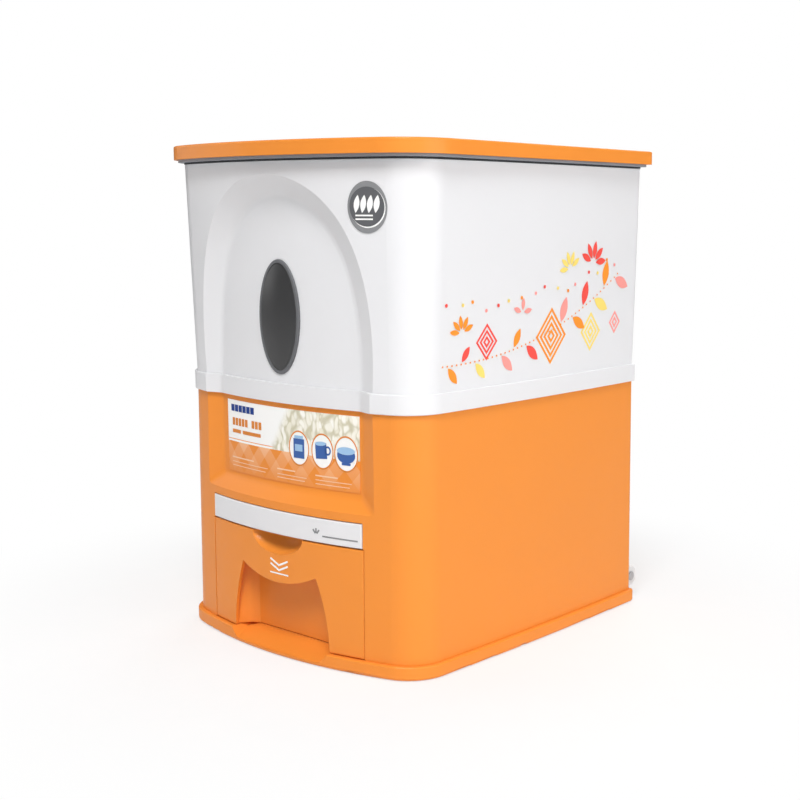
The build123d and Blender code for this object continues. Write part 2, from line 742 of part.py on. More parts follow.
front_rear_plane = Plane((0, drawer_front_rear_y, 0), x_dir=(1, 0, 0), z_dir=(0, -1, 0))
front_bosses = rods(front_rear_plane, drawer_screw_places, screw_boss_radius, drawer_front_rear_y - lid_front_y)
frame_hollow = (frame_block & behind_skin) - hand_space(drawer_frame) - finger_space(drawer_frame) - front_bosses
with BuildPart() as drawer_front:
    add(shell_body(drawer_front_bottom, drawer_front_top, 0))
    add(front_block, mode=Mode.INTERSECT)
    fillet(drawer_front.faces().sort_by(Axis.Y)[0].edges(), drawer_edge_round)
    add(frame_hollow, mode=Mode.SUBTRACT)
    add(hand_space(0) & behind_skin, mode=Mode.SUBTRACT)
    add(finger_space(0), mode=Mode.SUBTRACT)
    with BuildSketch(front_plane):
        with BuildLine():
            ThreePointArc((-hand_top_half_width, hand_top), (0, hand_lip), (hand_top_half_width, hand_top))
            for s in (-1, 1):
                ThreePointArc(
                    (s * hand_top_half_width, hand_top),
                    (s * hand_mid_half_width, hand_mid),
                    (s * hand_foot_half_width, drawer_front_bottom),
                )
            Line((-hand_foot_half_width, drawer_front_bottom), (hand_foot_half_width, drawer_front_bottom))
        make_face()
    extrude(amount=lid_front_y - front_at(hand_foot_half_width, shell_foot_inset + drawer_skin) - 1,
            mode=Mode.SUBTRACT)
    add(rods(front_rear_plane, drawer_screw_places, screw_hole, screw_length - box_wall), mode=Mode.SUBTRACT)
save(drawer_front, "drawer_front")

# Drawer runners: channels on legs, screwed to the base, that hold the box's guide ribs
for s, side in sides:
    with BuildPart() as drawer_runner:
        lip_low = guide_height - slide_gap - runner_lip
        lip_high = guide_height + guide_thickness + slide_gap + runner_lip
        near, far = sorted((s * runner_web_x, s * (runner_web_x + runner_lip)))
        add(block(near, far, runner_front_y, runner_rear_y, base_top, lip_high))
        near, far = sorted((s * runner_web_x, s * (runner_web_x + runner_lip + runner_foot_width)))
        add(block(near, far, runner_front_y, runner_rear_y, base_top, base_top + runner_foot))
        near, far = sorted((s * (box_half_width + slide_gap), s * runner_web_x))
        add(block(near, far, runner_front_y, runner_rear_y, lip_low, lip_low + runner_lip))
        add(block(near, far, runner_front_y, runner_rear_y, lip_high - runner_lip, lip_high))
        places = [place for place in runner_screw_places if place[0] * s > 0]
        add(rods(base_seat, places, screw_boss_radius, screw_grip + screw_end_wall))
        add(rods(base_seat, places, screw_hole, screw_grip), mode=Mode.SUBTRACT)
    save(drawer_runner, f"drawer_runner_{side}")

# Rear rollers, each on a pin that stands out of a bracket in the corner of the shell
for s, side in sides:
    cheek_low, cheek_high = sorted((s * bracket_inner_x, s * (bracket_inner_x + bracket_cheek)))
    bay_low, bay_high = sorted((s * bracket_inner_x, s * bracket_outer_x))
    cheek_top = roller_bay_top - slide_gap
    with BuildPart() as roller_bracket:
        add(block(cheek_low, cheek_high, bracket_front_y, roller_y, base_top, cheek_top))
        with BuildSketch(Plane.YZ.offset(cheek_low)):
            with Locations((roller_y, roller_z)):
                Circle(2 * roller_pin_radius)
        extrude(amount=bracket_cheek)
        add(block(bay_low, bay_high, bracket_front_y, bracket_front_y + bracket_wall, base_top, cheek_top))
        add(block(bay_low, bay_high, bracket_front_y, roller_y, cheek_top - bracket_wall + slide_gap,
                  cheek_top) & shell_body(base_top, cheek_top, wall + slide_gap))
        add(block(bay_low, bay_high, bracket_foot_front_y, bracket_front_y + bracket_wall, base_top,
                  base_top + bracket_wall))
        with BuildSketch(Plane.YZ.offset(cheek_low)):
            with Locations((roller_y, roller_z)):
                Circle(roller_pin_radius)
        extrude(amount=bracket_cheek, mode=Mode.SUBTRACT)
        places = [place for place in bracket_screw_places if place[0] * s > 0]
        add(rods(base_seat, places, screw_boss_radius, screw_grip + screw_end_wall))
        add(rods(base_seat, places, screw_hole, screw_grip), mode=Mode.SUBTRACT)
    save(roller_bracket, f"roller_bracket_{side}")

    with BuildPart() as rear_roller:
        with BuildSketch(Plane.YZ.offset(s * (roller_inner_x + roller_width / 2))):
            with Locations((roller_y, roller_z)):
                Circle(roller_radius)
        extrude(amount=roller_width / 2, both=True)
        fillet(rear_roller.edges().filter_by(GeomType.CIRCLE), roller_cap_thickness)
        with BuildSketch(Plane.YZ.offset(s * (roller_inner_x + roller_width / 2))):
            with Locations((roller_y, roller_z)):
                Circle(roller_pin_radius + pin_clearance)
        extrude(amount=roller_width / 2, both=True, mode=Mode.SUBTRACT)
    save(rear_roller, f"rear_roller_{side}")

    with BuildPart() as roller_pin:
        pin_end = roller_inner_x + roller_width + slide_gap
        with BuildSketch(Plane.YZ.offset(s * bracket_inner_x)):
            with Locations((roller_y, roller_z)):
                Circle(roller_pin_radius)
        extrude(amount=s * (pin_end - bracket_inner_x))
        with BuildSketch(Plane.YZ.offset(s * pin_end)):
            with Locations((roller_y, roller_z)):
                Circle(roller_cap_radius)
        extrude(amount=s * roller_cap_thickness)
    save(roller_pin, f"roller_pin_{side}")

# Lid cover: flat top with a skirt and screw bosses
lid_screw_places = [(s * lid_screw_x, t * lid_screw_y + shift) for s in (-1, 1) for t in (-1, 1)]
lid_boss_foot = liner_bottom + liner_floor
with BuildPart() as lid_cover:
    extrude(outline(lid_bottom, 0, 0, 0), amount=lid_skirt_height)
    fillet(lid_cover.faces().sort_by(Axis.Z)[-1].edges(), lid_edge_round)
    extrude(outline(lid_bottom, lid_wall, lid_wall, 0), amount=lid_skirt_height - lid_wall, mode=Mode.SUBTRACT)
    add(rods(Plane.XY.offset(lid_boss_foot), lid_screw_places, screw_boss_radius,
             total_height - lid_wall - lid_boss_foot))
    add(rods(Plane.XY.offset(lid_boss_foot), lid_screw_places, screw_hole,
             total_height - lid_wall - lid_boss_foot), mode=Mode.SUBTRACT)
save(lid_cover, "lid_cover")

# Lid liner: shallow tray under the cover, with a collar inside the bin's mouth and the hinge arms
collar_inset = bin_rim_inset + wall + collar_gap
collar_rear_inset = bin_rim_rear_inset + wall + collar_gap
with BuildPart() as lid_liner:
    extrude(outline(liner_bottom, liner_inset, liner_inset, 0), amount=liner_floor + liner_upstand)
    extrude(outline(liner_bottom + liner_floor, liner_inset + liner_floor, liner_inset + liner_floor, 0),
            amount=liner_upstand, mode=Mode.SUBTRACT)
    extrude(outline(liner_bottom, collar_inset, collar_rear_inset), amount=-collar_height)
    extrude(outline(liner_bottom, collar_inset + collar_wall, collar_rear_inset + collar_wall),
            amount=-collar_height, mode=Mode.SUBTRACT)
    for s in (-1, 1):
        with BuildSketch(Plane.YZ.offset(s * hinge_x)):
            with Locations((hinge_y, hinge_z)):
                Circle(hinge_radius)
            with Locations((hinge_y, (hinge_z + lid_bottom) / 2)):
                Rectangle(2 * hinge_radius, lid_bottom - hinge_z)
        extrude(amount=hinge_knuckle / 2, both=True)
        with BuildSketch(Plane.YZ.offset(s * hinge_x)):
            with Locations((hinge_y, hinge_z)):
                Circle(hinge_pin_radius + pin_clearance)
        extrude(amount=hinge_knuckle / 2, both=True, mode=Mode.SUBTRACT)
    add(rods(Plane.XY.offset(liner_bottom), lid_screw_places, screw_hole, liner_floor), mode=Mode.SUBTRACT)
save(lid_liner, "lid_liner")

# Lid seal: flat ring under the liner, over the bin's rim
seal_outer = bin_rim_inset - (seal_width - wall) / 2
seal_rear = bin_rim_rear_inset
with BuildPart() as lid_seal:
    extrude(outline(seal_bottom, seal_outer, seal_rear), amount=seal_thickness)
    extrude(outline(seal_bottom, seal_outer + seal_width, seal_rear + seal_width),
            amount=seal_thickness, mode=Mode.SUBTRACT)
save(lid_seal, "lid_seal")

# Hinge pins
with BuildPart() as hinge_pins:
    pin_half = hinge_knuckle / 2 + slide_gap + hinge_ear
    for s in (-1, 1):
        with BuildSketch(Plane.YZ.offset(s * hinge_x)):
            with Locations((hinge_y, hinge_z)):
                Circle(hinge_pin_radius)
        extrude(amount=pin_half, both=True)
save(hinge_pins, "hinge_pins")

# Window bezel, lens and gasket
bin_wall_behind = recess_cutter(wall)
bezel_front = window_face_y - window_bezel_proud
bezel_rear = window_face_y + window_rebate
with BuildPart() as window_bezel:
    add(ellipse_block(window_half_width + window_bezel_width - pin_clearance,
                      window_half_height + window_bezel_width - pin_clearance, bezel_front, bezel_rear))
    fillet(window_bezel.edges().group_by(Axis.Y)[0], window_bezel_round)
    add(ellipse_block(window_half_width, window_half_height, bezel_front, bezel_rear), mode=Mode.SUBTRACT)
save(window_bezel, "window_bezel")

flange_front = window_face_y + wall + gasket_thickness
lens_front = bezel_front + window_bezel_proud / 2
with BuildPart() as window_lens:
    with BuildSketch(Plane.YZ):
        lens_axis_y = lens_front - lens_crown + lens_side_radius
        with BuildLine():
            Line((lens_axis_y, window_center - window_half_height),
                 (lens_axis_y, window_center + window_half_height))
            Line((lens_axis_y, window_center + window_half_height),
                 (lens_axis_y + lens_side_radius - lens_crown, window_center + window_half_height))
            ThreePointArc(
                (lens_axis_y + lens_side_radius - lens_crown, window_center + window_half_height),
                (lens_axis_y + lens_side_radius, window_center),
                (lens_axis_y + lens_side_radius - lens_crown, window_center - window_half_height),
            )
            Line((lens_axis_y + lens_side_radius - lens_crown, window_center - window_half_height),
                 (lens_axis_y, window_center - window_half_height))
        make_face()
    revolve(axis=Axis((0, lens_axis_y, 0), (0, 0, 1)))
    add(ellipse_block(window_half_width - pin_clearance, window_half_height - pin_clearance,
                      lens_front - lens_side_radius, flange_front), mode=Mode.INTERSECT)
    add(ellipse_block(window_half_width + lens_flange_width, window_half_height + lens_flange_width,
                      flange_front, flange_front + lens_flange_thickness))
save(window_lens, "window_lens")

with BuildPart() as window_gasket:
    add(ellipse_block(window_half_width + lens_flange_width, window_half_height + lens_flange_width,
                      bezel_rear, flange_front))
    add(ellipse_block(window_half_width, window_half_height, bezel_rear, flange_front), mode=Mode.SUBTRACT)
    add(bin_wall_behind, mode=Mode.SUBTRACT)
save(window_gasket, "window_gasket")

# Label on the panel and round badge on the corner pillar
with BuildPart() as label_sticker:
    add(recess_cutter(-film_gap) - recess_cutter(-film_gap - label_thickness))
    add(block(label_offset - label_half_width, label_offset + label_half_width, lid_front_y,
              hand_rear_y + recess_inset, label_bottom, label_top), mode=Mode.INTERSECT)
save(label_sticker, "label_sticker")

badge_inset = taper(badge_z, joint_height, bin_rim, joint_inset, bin_rim_inset)
badge_y = front_at(badge_x, badge_inset)
badge_plane = Plane((badge_x, badge_y, badge_z), x_dir=(arc_axis_y - badge_y, badge_x, 0),
                    z_dir=(badge_x, badge_y - arc_axis_y, 0))
with BuildPart() as badge_sticker:
    with BuildSketch(badge_plane):
        Ellipse(badge_half_width, badge_half_height)
    extrude(amount=badge_half_width, both=True)
    add(bin_body(joint_height, bin_rim, -film_gap - badge_thickness), mode=Mode.INTERSECT)
    add(bin_body(joint_height, bin_rim, -film_gap), mode=Mode.SUBTRACT)
save(badge_sticker, "badge_sticker")

# Screws
save(screws(Plane.XY.offset(base_plate_underside), base_screw_places, screw_length), "base_screws")
save(screws(Plane.XY.offset(ledge_underside), joint_places, screw_length), "joint_screws")
save(screws(Plane.XY.offset(liner_bottom), lid_screw_places, small_screw_length), "lid_screws")
save(screws(Plane.XY.offset(blade_underside), blade_screw_places, blade_thickness + strip_wall), "gate_screws")
save(screws(ear_seat, rail_screw_places, rail_lip + outlet_plate), "rail_screws")
save(screws(box_screw_seat, drawer_screw_places, screw_length), "drawer_screws")
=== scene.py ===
import json
import random
from math import atan2, cos, pi, radians, sin

import bmesh
import bpy
from mathutils import Matrix, Vector
from mathutils.bvhtree import BVHTree

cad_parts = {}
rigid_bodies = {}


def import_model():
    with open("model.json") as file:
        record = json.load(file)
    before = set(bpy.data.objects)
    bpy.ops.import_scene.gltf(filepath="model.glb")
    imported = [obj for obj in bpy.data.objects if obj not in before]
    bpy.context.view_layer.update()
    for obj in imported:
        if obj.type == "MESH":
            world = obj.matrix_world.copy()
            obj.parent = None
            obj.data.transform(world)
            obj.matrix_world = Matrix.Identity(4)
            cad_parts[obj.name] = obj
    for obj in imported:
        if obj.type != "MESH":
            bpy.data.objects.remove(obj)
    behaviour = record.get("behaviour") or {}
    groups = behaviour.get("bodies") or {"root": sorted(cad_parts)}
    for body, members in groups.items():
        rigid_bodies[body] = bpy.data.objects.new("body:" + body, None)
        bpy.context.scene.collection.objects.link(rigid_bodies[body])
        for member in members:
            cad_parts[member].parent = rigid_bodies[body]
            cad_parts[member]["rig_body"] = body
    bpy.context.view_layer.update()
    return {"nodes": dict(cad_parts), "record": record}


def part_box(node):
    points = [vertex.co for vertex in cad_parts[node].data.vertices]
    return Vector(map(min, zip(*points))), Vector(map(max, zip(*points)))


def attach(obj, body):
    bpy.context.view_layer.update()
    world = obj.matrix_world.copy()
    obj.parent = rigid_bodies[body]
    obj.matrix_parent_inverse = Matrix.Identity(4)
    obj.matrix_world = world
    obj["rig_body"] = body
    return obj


# Rice storage bin: finishes, printed films, light and camera. Metres, +Z up, the front faces -Y.
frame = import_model()
random.seed(15)
MM = 0.001


def paint(red, green, blue):
    """Linear colour of a paint named by its 8-bit screen values."""
    linear = []
    for value in (red, green, blue):
        share = value / 255
        linear.append(share / 12.92 if share <= 0.04045 else ((share + 0.055) / 1.055) ** 2.4)
    return (*linear, 1.0)


# Paints
ORANGE = paint(239, 145, 57)
WHITE = paint(229, 229, 231)
NATURAL = paint(222, 222, 216)
GREY = paint(150, 156, 164)
BEZEL_GREY = paint(104, 105, 108)
RUBBER = paint(52, 54, 57)
STEEL = paint(190, 190, 192)
PALE_PLASTIC = paint(226, 226, 226)
SMOKE = paint(66, 66, 67)
PRINT_WHITE = paint(252, 252, 250)
PRINT_ORANGE = paint(252, 152, 48)
PRINT_YELLOW = paint(252, 224, 118)
PRINT_RED = paint(246, 84, 74)
PRINT_PINK = paint(252, 160, 152)
PRINT_BLUE = paint(62, 100, 168)
PRINT_SKY = paint(160, 198, 232)
PRINT_NAVY = paint(22, 62, 140)
PRINT_GREY = paint(98, 99, 102)
PRINT_SILVER = paint(140, 141, 143)
PRINT_PEACH = paint(250, 208, 172)


# Shader building
def node(tree, kind, inputs=None, **settings):
    """New shader node, with its settings made and its inputs set or linked."""
    made = tree.nodes.new(kind)
    for name, value in settings.items():
        setattr(made, name, value)
    for name, value in (inputs or {}).items():
        if isinstance(value, bpy.types.NodeSocket):
            tree.links.new(value, made.inputs[name])
        else:
            made.inputs[name].default_value = value
    return made


def calc(tree, operation, first, second=0.0, third=0.0):
    """Result of one Math node."""
    inputs = {0: first, 1: second, 2: third}
    return node(tree, "ShaderNodeMath", inputs, operation=operation).outputs[0]


def spread(tree, value, low, high, new_low=0.0, new_high=1.0, shape="LINEAR"):
    """Value mapped from one range to another."""
    return node(tree, "ShaderNodeMapRange", {
        "Value": value, "From Min": low, "From Max": high, "To Min": new_low, "To Max": new_high,
    }, interpolation_type=shape).outputs["Result"]


def blend(tree, share, first, second):
    """Colour mixed from first to second by a share."""
    mix = node(tree, "ShaderNodeMix", {"Factor": share}, data_type="RGBA", clamp_factor=True)
    for socket, colour in ((mix.inputs[6], first), (mix.inputs[7], second)):
        if isinstance(colour, bpy.types.NodeSocket):
            tree.links.new(colour, socket)
        else:
            socket.default_value = colour
    return mix.outputs[2]


def noise(tree, place, scale, detail=3.0):
    """Grey noise with features about 1 / scale metres apart."""
    inputs = {"Vector": place, "Scale": scale, "Detail": detail}
    return node(tree, "ShaderNodeTexNoise", inputs).outputs[0]


def shade(colour, factor):
    """Colour made lighter or darker by a factor."""
    return (*(min(1.0, part * factor) for part in colour[:3]), 1.0)


def start_material(name):
    """New material with its node tree, its shader and object coordinates."""
    material = bpy.data.materials.new(name)
    material.use_nodes = True
    tree = material.node_tree
    shader = tree.nodes["Principled BSDF"]
    place = node(tree, "ShaderNodeTexCoord").outputs["Object"]
    return material, tree, shader, place


SWELL_SCALE = 38.0
RELIEF_STRENGTH = 0.5


def relief(tree, shader, place, grain_scale, grain_depth, swell_depth, edge_radius):
    """Moulded grain over a gentle swell, on edges that read as softly rounded."""
    edge = node(tree, "ShaderNodeBevel", {"Radius": edge_radius}, samples=4).outputs[0]
    swell = node(tree, "ShaderNodeBump", {
        "Height": noise(tree, place, SWELL_SCALE, detail=1.0), "Distance": swell_depth,
        "Strength": RELIEF_STRENGTH, "Normal": edge,
    }).outputs[0]
    grain = node(tree, "ShaderNodeBump", {
        "Height": noise(tree, place, grain_scale, detail=2.0), "Distance": grain_depth,
        "Strength": RELIEF_STRENGTH, "Normal": swell,
    }).outputs[0]
    tree.links.new(grain, shader.inputs["Normal"])


GLOSS_VARIATION = 0.03


def moulded(name, colour, roughness, mottle=0.03, gleam=0.3, coat=0.0):
    """Injection-moulded plastic: faint clouding, fine grain and slightly uneven gloss."""
    material, tree, shader, place = start_material(name)
    clouds = noise(tree, place, scale=9.0)
    tone = blend(tree, clouds, shade(colour, 1 - mottle), shade(colour, 1 + mottle))
    tree.links.new(tone, shader.inputs["Base Color"])
    gloss = spread(tree, noise(tree, place, scale=160.0, detail=2.0), 0.3, 0.7,
                   roughness - GLOSS_VARIATION, roughness + GLOSS_VARIATION)
    tree.links.new(gloss, shader.inputs["Roughness"])
    shader.inputs["Specular IOR Level"].default_value = gleam
    shader.inputs["Coat Weight"].default_value = coat
    shader.inputs["Coat Roughness"].default_value = 0.1
    relief(tree, shader, place, grain_scale=1500.0, grain_depth=0.00002, swell_depth=0.00012,
           edge_radius=0.0007)
    return material


def rubbery(name, colour):
    """Soft matt rubber with a dusty bloom."""
    material, tree, shader, place = start_material(name)
    bloom = spread(tree, noise(tree, place, scale=420.0, detail=4.0), 0.35, 0.75, shape="SMOOTHSTEP")
    tree.links.new(blend(tree, bloom, colour, shade(colour, 1.5)), shader.inputs["Base Color"])
    shader.inputs["Roughness"].default_value = 0.72
    relief(tree, shader, place, grain_scale=2200.0, grain_depth=0.00005, swell_depth=0.00005,
           edge_radius=0.0004)
    return material


def plated(name, colour):
    """Zinc-plated steel with fine brushing."""
    material, tree, shader, place = start_material(name)
    brushed = node(tree, "ShaderNodeMapping", {"Vector": place, "Scale": (1.0, 1.0, 0.06)}).outputs[0]
    lines = noise(tree, brushed, scale=2600.0, detail=2.0)
    tone = blend(tree, lines, shade(colour, 0.85), shade(colour, 1.1))
    tree.links.new(tone, shader.inputs["Base Color"])
    tree.links.new(spread(tree, lines, 0.2, 0.8, 0.24, 0.42), shader.inputs["Roughness"])
    shader.inputs["Metallic"].default_value = 1.0
    relief(tree, shader, place, grain_scale=3000.0, grain_depth=0.00001, swell_depth=0.00001,
           edge_radius=0.0002)
    return material


def smoked(name, colour):
    """Smoky see-through plastic, polished, a little uneven in depth of colour."""
    material, tree, shader, place = start_material(name)
    depth = noise(tree, place, scale=30.0, detail=2.0)
    tone = blend(tree, depth, shade(colour, 0.9), shade(colour, 1.15))
    tree.links.new(tone, shader.inputs["Base Color"])
    shader.inputs["Roughness"].default_value = 0.3
    shader.inputs["Transmission Weight"].default_value = 0.25
    shader.inputs["IOR"].default_value = 1.49
    relief(tree, shader, place, grain_scale=900.0, grain_depth=0.00001, swell_depth=0.00008,
           edge_radius=0.0005)
    return material


PRINT_GLEAM = 0.25


def printed(name, colour, roughness=0.42):
    """Printing ink: a fine dot screen over slightly uneven cover."""
    material, tree, shader, place = start_material(name)
    screen = node(tree, "ShaderNodeTexVoronoi", {"Vector": place, "Scale": 2400.0}).outputs["Distance"]
    dots = spread(tree, screen, 0.25, 0.6, 0.0, 0.5)
    cover = calc(tree, "MULTIPLY_ADD", noise(tree, place, scale=240.0), 0.5, dots)
    tone = blend(tree, cover, shade(colour, 1.03), shade(colour, 0.94))
    tree.links.new(tone, shader.inputs["Base Color"])
    shader.inputs["Roughness"].default_value = roughness
    shader.inputs["Specular IOR Level"].default_value = PRINT_GLEAM
    return material


# Printed label on the panel
LABEL_SPLIT_Z = 170.8 * MM            # pale field above, orange field below
LABEL_RULE_Z = 172.9 * MM             # thin orange rule in the pale field
LABEL_RULE_HALF = 0.35 * MM
GRAIN_EDGE_X = -13.0 * MM             # left edge of the picture of grains, at the split
GRAIN_EDGE_LEAN = 0.6                 # how far that edge moves right per unit of height
GRAIN_EDGE_SOFT = 5.0 * MM
GRAIN_TILT = radians(35.0)
GRAIN_SCALE = 215.0
GRAIN_BEND = 16.0 * MM
GRAIN_PALE = paint(254, 252, 244)
GRAIN_CREAM = paint(238, 234, 216)
GRAIN_HOLLOW = paint(192, 185, 152)
CHECK_WIDTH = 30.0 * MM
CHECK_HEIGHT = 34.0 * MM
CHECK_FADE = 24.0 * MM                # depth over which the check fades downwards


def label_film(name):
    """Pale field with a picture of rice grains, over an orange field with a diamond check."""
    material, tree, shader, place = start_material(name)
    axes = node(tree, "ShaderNodeSeparateXYZ", {"Vector": place}).outputs
    across, height = axes["X"], axes["Z"]
    above = calc(tree, "SUBTRACT", height, LABEL_SPLIT_Z)

    wobble = node(tree, "ShaderNodeTexNoise", {"Vector": place, "Scale": 70.0, "Detail": 1.0})
    bent = node(tree, "ShaderNodeVectorMath", {0: wobble.outputs["Color"], 1: (GRAIN_BEND,) * 3},
                operation="MULTIPLY")
    grain_place = node(tree, "ShaderNodeVectorMath", {0: place, 1: bent.outputs[0]}, operation="ADD")
    long_grains = node(tree, "ShaderNodeMapping", {
        "Vector": grain_place.outputs[0], "Rotation": (0.0, GRAIN_TILT, 0.0), "Scale": (1.0, 1.0, 0.42),
    }).outputs[0]
    cells = node(tree, "ShaderNodeTexVoronoi", {"Vector": long_grains, "Scale": GRAIN_SCALE}).outputs
    tint = node(tree, "ShaderNodeSeparateColor", {"Color": cells["Color"]}).outputs[0]
    body = blend(tree, tint, GRAIN_PALE, GRAIN_CREAM)
    hollow = spread(tree, cells["Distance"], 0.38, 0.78, 0.0, 0.75, "SMOOTHSTEP")
    grains = blend(tree, hollow, body, GRAIN_HOLLOW)

    edge = calc(tree, "MULTIPLY_ADD", above, -GRAIN_EDGE_LEAN, across)
    picture = spread(tree, edge, GRAIN_EDGE_X - GRAIN_EDGE_SOFT, GRAIN_EDGE_X + GRAIN_EDGE_SOFT,
                     shape="SMOOTHSTEP")
    pale = blend(tree, picture, PRINT_WHITE, grains)
    off_rule = calc(tree, "ABSOLUTE", calc(tree, "SUBTRACT", height, LABEL_RULE_Z))
    rule = calc(tree, "MULTIPLY", calc(tree, "LESS_THAN", off_rule, LABEL_RULE_HALF),
                calc(tree, "SUBTRACT", 1.0, picture))
    pale = blend(tree, rule, pale, ORANGE)

    columns = calc(tree, "DIVIDE", across, CHECK_WIDTH)
    rows = calc(tree, "DIVIDE", above, CHECK_HEIGHT)
    rising = calc(tree, "LESS_THAN", calc(tree, "FRACT", calc(tree, "ADD", columns, rows)), 0.5)
    falling = calc(tree, "LESS_THAN", calc(tree, "FRACT", calc(tree, "SUBTRACT", columns, rows)), 0.5)
    check = calc(tree, "MULTIPLY_ADD", rising, 0.5, calc(tree, "MULTIPLY", falling, 0.5))
    fade = spread(tree, above, -CHECK_FADE, 0.0, 0.1, 0.62)
    orange = blend(tree, calc(tree, "MULTIPLY", check, fade), shade(ORANGE, 0.98), PRINT_PEACH)

    cover = blend(tree, calc(tree, "GREATER_THAN", above, 0.0), orange, pale)
    tree.links.new(cover, shader.inputs["Base Color"])
    shader.inputs["Roughness"].default_value = 0.4
    shader.inputs["Specular IOR Level"].default_value = PRINT_GLEAM
    return material


# Floor and room
FLOOR_HALF = 8.0
FLOOR_NEAR = 0.20                     # inside this distance the floor shows the bin's shadow
FLOOR_FAR = 0.50                      # beyond this distance it reads as plain white
FLOOR_WHITE = 0.6                     # share of plain white near the bin
FLOOR_PALE = paint(240, 240, 240)
FLOOR_PALER = paint(245, 245, 245)
ROOM_LIGHT = 0.085                    # strength of the room's light, which the camera sees as white


def ground(name):
    """Pale floor: it takes the bin's shadow, and reads as white further out."""
    material, tree, shader, place = start_material(name)
    speckle = noise(tree, place, scale=35.0, detail=4.0)
    tree.links.new(blend(tree, speckle, FLOOR_PALE, FLOOR_PALER), shader.inputs["Base Color"])
    shader.inputs["Roughness"].default_value = 0.9
    shader.inputs["Specular IOR Level"].default_value = 0.1
    reach = node(tree, "ShaderNodeVectorMath", {0: place}, operation="LENGTH").outputs["Value"]
    far = spread(tree, reach, FLOOR_NEAR, FLOOR_FAR, FLOOR_WHITE, 1.0, "SMOOTHSTEP")
    seen = node(tree, "ShaderNodeLightPath").outputs["Is Camera Ray"]
    white = node(tree, "ShaderNodeEmission", {"Color": (1.0, 1.0, 1.0, 1.0)}).outputs[0]
    share = calc(tree, "MULTIPLY", seen, far)
    both = node(tree, "ShaderNodeMixShader", {0: share, 1: shader.outputs[0], 2: white})
    tree.links.new(both.outputs[0], tree.nodes["Material Output"].inputs["Surface"])
    return material


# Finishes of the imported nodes, by material slot
finishes = {
    "orange_plastic": moulded("orange_moulded", ORANGE, 0.4, gleam=0.2, coat=0.1),
    "white_plastic": moulded("white_moulded", WHITE, 0.38, mottle=0.012, coat=0.2),
    "inner_plastic": moulded("natural_moulded", NATURAL, 0.5),
    "grey_plastic": moulded("grey_moulded", GREY, 0.45),
    "soft_rubber": rubbery("dark_rubber", RUBBER),
    "steel": plated("zinc_steel", STEEL),
    "roller_plastic": moulded("roller_moulded", PALE_PLASTIC, 0.4),
    "smoky_plastic": smoked("smoky_window", SMOKE),
    "label_print": label_film("label_film"),
    "badge_print": printed("badge_silver", PRINT_SILVER, 0.3),
}
own_finishes = {"window_bezel": moulded("bezel_moulded", BEZEL_GREY, 0.42)}
slots = {part["node"]: part["material_slot"] for part in frame["record"]["subparts"]}
for name, part in frame["nodes"].items():
    part.data.materials.clear()
    part.data.materials.append(own_finishes.get(name, finishes[slots[name]]))


# Printed films and inks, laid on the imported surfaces. Motifs are placed in millimetres, across and up
# their printed field. A motif is listed as its drawing function and what that takes.
INK_LIFT = 0.06 * MM
INK_THICKNESS = 0.10 * MM
LEVEL_STEP = INK_THICKNESS + INK_LIFT
RAY_START = 0.3                       # rays start this far out from the printed field
SIDE = Matrix(((0, 0, 1, 0), (1, 0, 0, 0), (0, 1, 0, 0), (0, 0, 0, 1)))
FRONT = Matrix(((1, 0, 0, 0), (0, 0, -1, 0), (0, 1, 0, 0), (0, 0, 0, 1)))
INTO_SIDE = (-1, 0, 0)
INTO_FRONT = (0, 1, 0)
FAN_SWEEP = radians(150.0)


def spot(across, up, turn=0.0, wide=1.0, tall=1.0):
    """Place of a motif in its printed field, turned and stretched."""
    return (Matrix.Translation((across * MM, up * MM, 0)) @ Matrix.Rotation(turn, 4, "Z")
            @ Matrix.Diagonal((wide * MM, tall * MM, MM, 1)))


def disc(bm, place, segments=40):
    """Filled disc of radius 1."""
    bmesh.ops.create_circle(bm, cap_ends=True, cap_tris=True, segments=segments, radius=1.0,
                            matrix=place)


def ring(bm, place, inner, segments=40):
    """Ring of outer radius 1; with four segments it is a hollow diamond."""
    edges = []
    for radius in (1.0, inner):
        made = bmesh.ops.create_circle(bm, segments=segments, radius=radius, matrix=place)
        edges += list({edge for vert in made["verts"] for edge in vert.link_edges})
    bmesh.ops.bridge_loops(bm, edges=edges)


def leaf(bm, place, segments=20):
    """Pointed leaf, two long and two wide, along its own X."""
    made = bmesh.ops.create_circle(bm, cap_ends=True, cap_tris=True, segments=segments, radius=1.0)
    for vert in made["verts"]:
        vert.co.y *= max(0.0, 1 - vert.co.x ** 2) ** 0.5
    bmesh.ops.transform(bm, matrix=place, verts=made["verts"])


def bar(bm, place, steps=10):
    """Bar two long and two tall."""
    bmesh.ops.create_grid(bm, x_segments=steps, y_segments=1, size=1.0, matrix=place)


def fan(across, up, turn, count, length, width):
    """Leaves spread like the fingers of a hand round a point; the more there are, the further out."""
    leaves = []
    reach = length * (0.62 + 0.03 * count)
    for index in range(count):
        angle = turn + FAN_SWEEP * (index / (count - 1) - 0.5)
        leaves.append((leaf, spot(across + reach * cos(angle), up + reach * sin(angle), angle,
                                  length / 2, width / 2)))
    return leaves


def line(left, right, height, half_height):
    """Level bar between two places."""
    return (bar, spot((left + right) / 2, height, 0.0, (right - left) / 2, half_height))


def blocks(first, pitch, height, half_width, half_height, places):
    """Row of upright blocks on an even pitch."""
    return [(bar, spot(first + pitch * place, height, 0.0, half_width, half_height), 2)
            for place in places]


